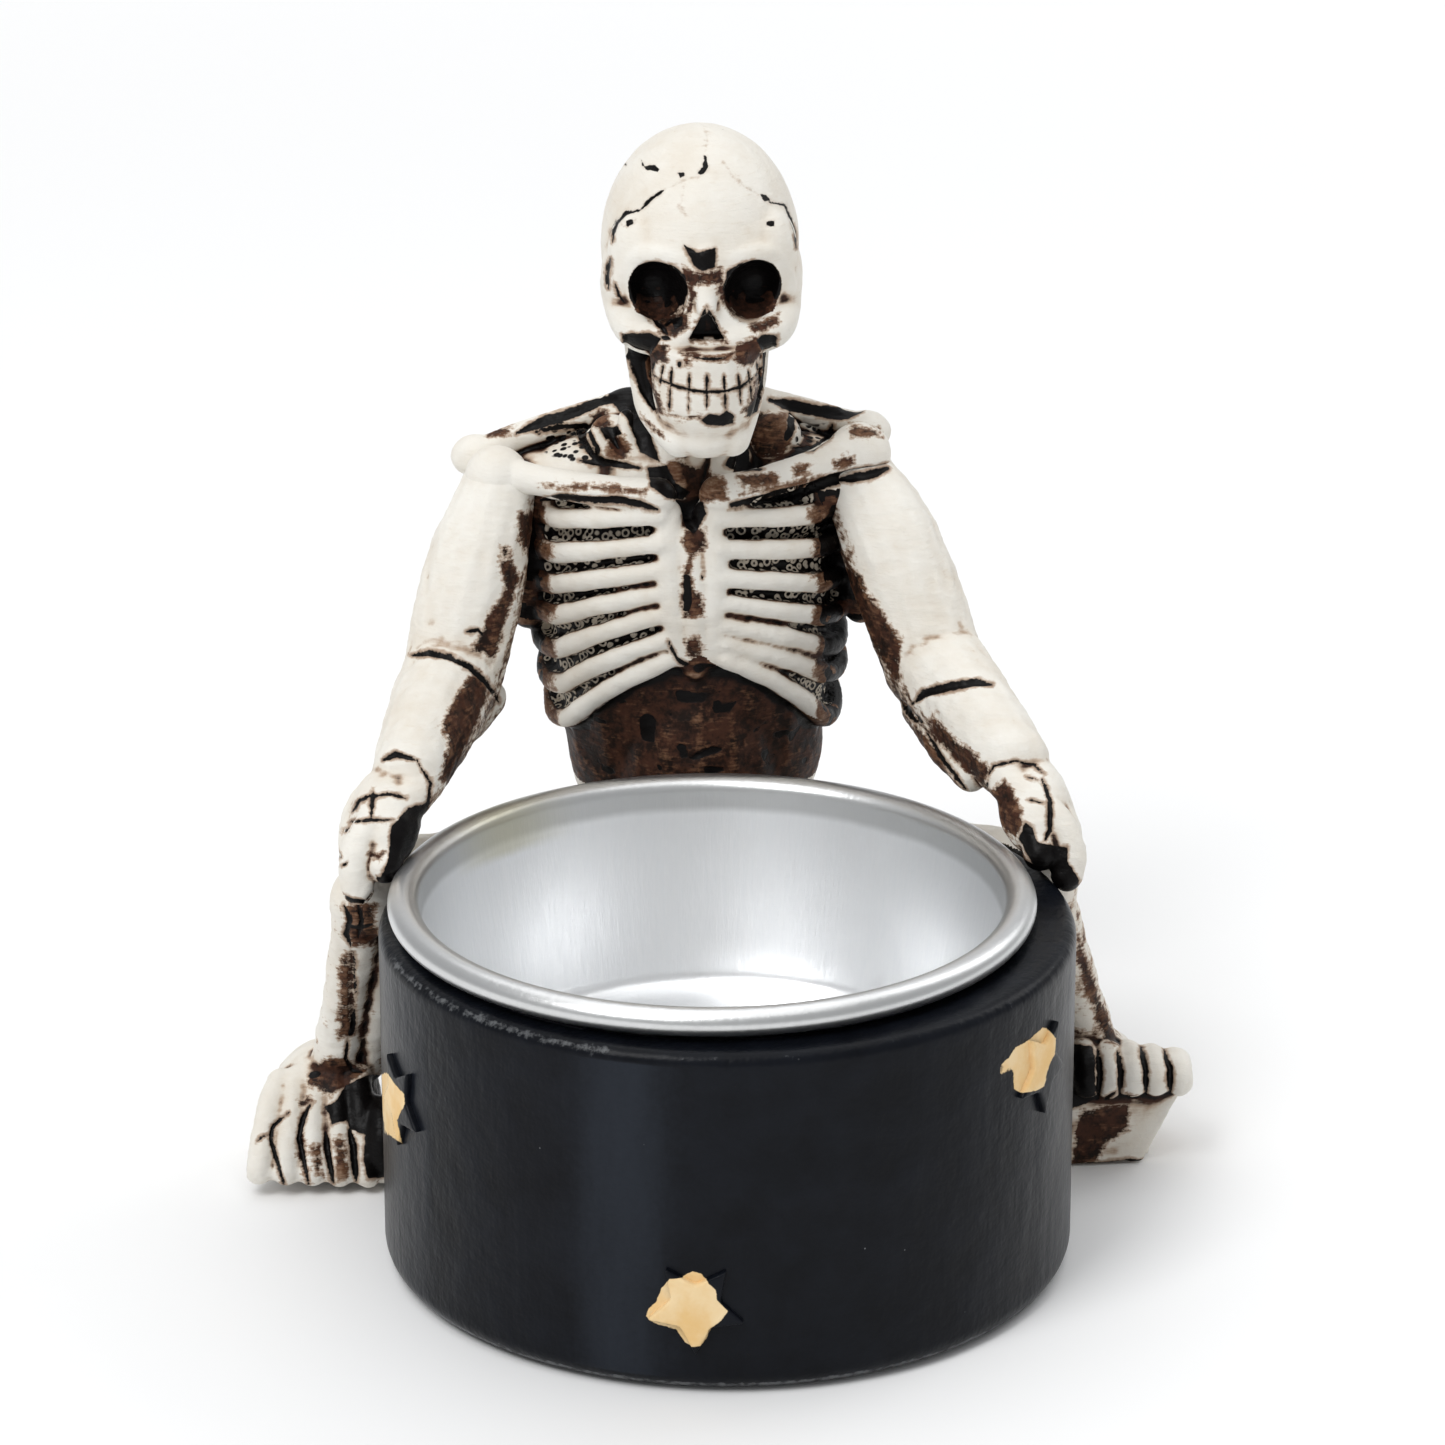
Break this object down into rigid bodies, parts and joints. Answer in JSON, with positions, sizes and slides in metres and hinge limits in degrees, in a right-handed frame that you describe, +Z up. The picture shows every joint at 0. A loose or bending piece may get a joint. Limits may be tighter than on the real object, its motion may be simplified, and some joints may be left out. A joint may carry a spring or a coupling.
{
  "type": "skull candle holder",
  "caption": "Seated skeleton with its arms and legs round a low round pot, which holds a drop-in metal cup for a tealight.",
  "frame": {"origin": "on the ground plane, on the figure's middle plane, under the centre of the pot", "axes": "+Z up, the skeleton faces -Y over the pot, +X to the right as seen from the front"},
  "size_m": [0.0709, 0.0702, 0.0756],
  "materials": {
    "painted_resin": "cast resin, painted: antiqued ivory bones, near-black pot, pale gold stars",
    "cup_metal": "spun aluminium, lightly brushed"
  },
  "bodies": {
    "root": {"resin_casting": "painted_resin", "candle_cup": "cup_metal"}
  },
  "joints": []
}
